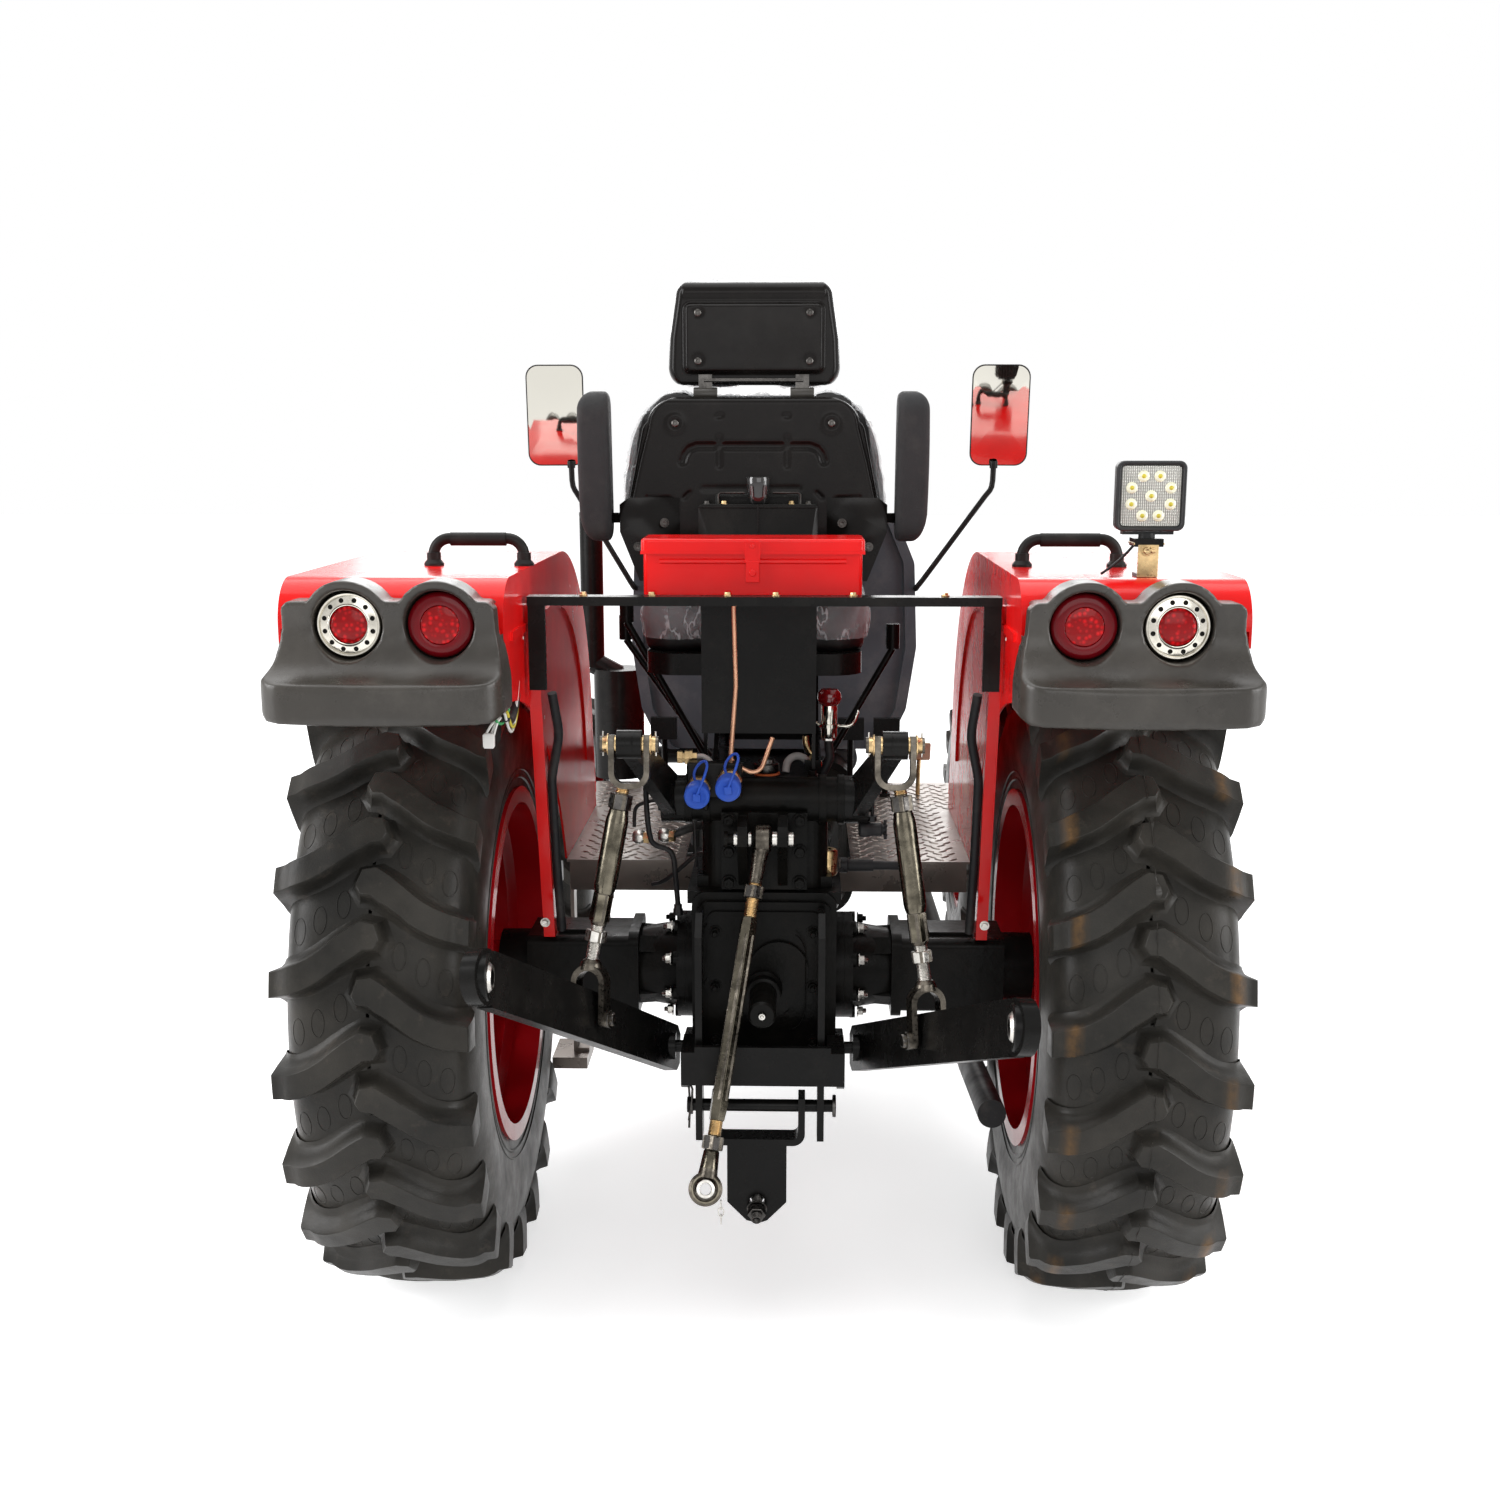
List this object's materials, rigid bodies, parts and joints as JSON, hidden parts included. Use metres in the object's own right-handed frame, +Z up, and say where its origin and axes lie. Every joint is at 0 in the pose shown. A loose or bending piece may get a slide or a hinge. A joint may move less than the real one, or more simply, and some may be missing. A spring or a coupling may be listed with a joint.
{
  "type": "farm tractor",
  "caption": "Open four-wheel-drive farm tractor with a rear three-point hitch, drawbar, toolbox, fenders and a tilting hood.",
  "frame": {"origin": "on the ground, at the middle of the tractor's length and width", "axes": "+X to the tractor's right, +Y forward, +Z up"},
  "size_m": [1.5326, 3.4237, 1.8108],
  "materials": {
    "cast_black": "semi-gloss black paint over rough casting",
    "engine_grey": "black painted engine",
    "painted_black": "semi-gloss black paint",
    "zinc_dark": "black oxide with bare edges",
    "zinc_gold": "yellow zinc plated wire",
    "cap_blue": "soft blue plastic caps on black couplers",
    "red_paint": "gloss red paint",
    "pod_plastic": "satin dark grey moulded plastic",
    "lamp_clear": "clear ribbed lens",
    "lamp_red": "clear red lens",
    "black_plastic": "grained black plastic",
    "lamp_black": "black die-cast housing",
    "seat_shell": "satin black pressed steel",
    "seat_vinyl": "black vinyl",
    "dash_plastic": "grey-blue moulded plastic",
    "tread_plate": "chequered steel plate",
    "exhaust_steel": "heat-proof black paint",
    "conduit_rubber": "corrugated black conduit",
    "tyre": "satin rubber"
  },
  "bodies": {
    "chassis": {"air_cleaner": "painted_black", "axle_housings": "cast_black", "conduits": "conduit_rubber", "dash_panel": "dash_plastic", "drawbar": "painted_black", "engine_block": "engine_grey", "exhaust": "exhaust_steel", "fender_left": "red_paint", "fender_right": "red_paint", "footplates": "tread_plate", "front_axle_beam": "cast_black", "front_support": "painted_black", "front_weights": "painted_black", "grab_handles": "black_plastic", "headrest_cushion": "seat_vinyl", "headrest_shell": "seat_shell", "hook_rod": "zinc_gold", "hydraulic_couplers": "cap_blue", "levers_and_pedals": "painted_black", "lift_housing": "cast_black", "light_pods": "pod_plastic", "mirrors": "black_plastic", "pto_cap": "cast_black", "rear_bar": "painted_black", "seat_back_cushion": "seat_vinyl", "seat_back_shell": "seat_shell", "seat_base": "painted_black", "seat_cushion": "seat_vinyl", "seat_plate": "painted_black", "tail_lamps": "lamp_red", "toolbox": "red_paint", "transmission_housing": "cast_black", "work_light": "lamp_black"},
    "rear_wheel_left": {"rear_tyre_left": "tyre", "rear_wheel_left": "red_paint"},
    "rear_wheel_right": {"rear_tyre_right": "tyre", "rear_wheel_right": "red_paint"},
    "front_wheel_left": {"front_tyre_left": "tyre", "front_wheel_left": "red_paint"},
    "front_wheel_right": {"front_tyre_right": "tyre", "front_wheel_right": "red_paint"},
    "knuckle_left": {"knuckle_left": "cast_black"},
    "knuckle_right": {"knuckle_right": "cast_black"},
    "tie_rod": {"tie_rod": "painted_black"},
    "steering_wheel": {"steering_wheel": "black_plastic"},
    "lift_arms": {"lift_arms": "painted_black"},
    "lower_link_left": {"lower_link_left": "painted_black"},
    "lower_link_right": {"lower_link_right": "painted_black"},
    "lift_rod_left": {"lift_rod_left": "zinc_dark"},
    "lift_rod_right": {"lift_rod_right": "zinc_dark"},
    "top_link": {"top_link": "zinc_dark"},
    "armrest_left": {"armrest_left": "black_plastic"},
    "armrest_right": {"armrest_right": "black_plastic"},
    "toolbox_lid": {"toolbox_lid": "red_paint"},
    "hood": {"hood": "red_paint", "grille": "black_plastic", "headlights": "lamp_clear"}
  },
  "joints": [
    {"name": "rear_wheel_left_spin", "type": "hinge", "parent": "chassis", "child": "rear_wheel_left", "pos_m": [-0.6085, -0.88897, 0.58], "axis": [1, 0, 0], "continuous": true},
    {"name": "steer_left", "type": "hinge", "parent": "chassis", "child": "knuckle_left", "pos_m": [-0.48, 0.96103, 0.4], "axis": [0, 0, 1], "range_deg": [-35, 35]},
    {"name": "front_wheel_left_spin", "type": "hinge", "parent": "knuckle_left", "child": "front_wheel_left", "pos_m": [-0.615, 0.96103, 0.4], "axis": [1, 0, 0], "continuous": true},
    {"name": "lower_link_left_lift", "type": "hinge", "parent": "chassis", "child": "lower_link_left", "pos_m": [-0.178, -1.00897, 0.46], "axis": [1, 0, 0], "range_deg": [0, 42]},
    {"name": "lift_rod_left_swing", "type": "hinge", "parent": "lift_arms", "child": "lift_rod_left", "pos_m": [-0.214, -1.23897, 1.057], "axis": [1, 0, 0], "range_deg": [-49, 0]},
    {"name": "armrest_left_fold", "type": "hinge", "parent": "chassis", "child": "armrest_left", "pos_m": [-0.276, -0.85097, 1.4], "axis": [-1, 0, 0], "range_deg": [0, 96]},
    {"name": "rear_wheel_right_spin", "type": "hinge", "parent": "chassis", "child": "rear_wheel_right", "pos_m": [0.6085, -0.88897, 0.58], "axis": [1, 0, 0], "continuous": true},
    {"name": "steer_right", "type": "hinge", "parent": "chassis", "child": "knuckle_right", "pos_m": [0.48, 0.96103, 0.4], "axis": [0, 0, 1], "range_deg": [-35, 35]},
    {"name": "front_wheel_right_spin", "type": "hinge", "parent": "knuckle_right", "child": "front_wheel_right", "pos_m": [0.615, 0.96103, 0.4], "axis": [1, 0, 0], "continuous": true},
    {"name": "lower_link_right_lift", "type": "hinge", "parent": "chassis", "child": "lower_link_right", "pos_m": [0.178, -1.00897, 0.46], "axis": [1, 0, 0], "range_deg": [0, 42]},
    {"name": "lift_rod_right_swing", "type": "hinge", "parent": "lift_arms", "child": "lift_rod_right", "pos_m": [0.214, -1.23897, 1.057], "axis": [1, 0, 0], "range_deg": [-49, 0]},
    {"name": "armrest_right_fold", "type": "hinge", "parent": "chassis", "child": "armrest_right", "pos_m": [0.228, -0.85097, 1.4], "axis": [-1, 0, 0], "range_deg": [0, 96]},
    {"name": "tie_rod_swing", "type": "hinge", "parent": "knuckle_left", "child": "tie_rod", "pos_m": [-0.48, 0.76103, 0.3753], "axis": [0, 0, 1], "range_deg": [-35, 35]},
    {"name": "steering_turn", "type": "hinge", "parent": "chassis", "child": "steering_wheel", "pos_m": [0, -0.10897, 1.375], "axis": [0, -0.8, 0.6], "range_deg": [-420, 420]},
    {"name": "lift", "type": "hinge", "parent": "chassis", "child": "lift_arms", "pos_m": [0, -0.98897, 0.915], "axis": [1, 0, 0], "range_deg": [0, 46]},
    {"name": "top_link_swing", "type": "hinge", "parent": "chassis", "child": "top_link", "pos_m": [0, -1.08897, 0.8655], "axis": [-1, 0, 0], "range_deg": [0, 100]},
    {"name": "toolbox_lid_open", "type": "hinge", "parent": "chassis", "child": "toolbox_lid", "pos_m": [0, -0.96897, 1.3477], "axis": [-1, 0, 0], "range_deg": [0, 80]},
    {"name": "hood_open", "type": "hinge", "parent": "chassis", "child": "hood", "pos_m": [0, 0.26903, 1.352], "axis": [1, 0, 0], "range_deg": [0, 48]}
  ],
  "couplings": [
    {"joint": "steer_right", "follows": "steer_left", "ratio": 1},
    {"joint": "tie_rod_swing", "follows": "steer_left", "ratio": -1},
    {"joint": "steering_turn", "follows": "steer_left", "ratio": 12},
    {"joint": "lower_link_left_lift", "follows": "lift", "ratio": 0.85772},
    {"joint": "lower_link_right_lift", "follows": "lift", "ratio": 0.85096},
    {"joint": "lift_rod_left_swing", "follows": "lift", "ratio": -1.0106},
    {"joint": "lift_rod_right_swing", "follows": "lift", "ratio": -0.95741}
  ]
}
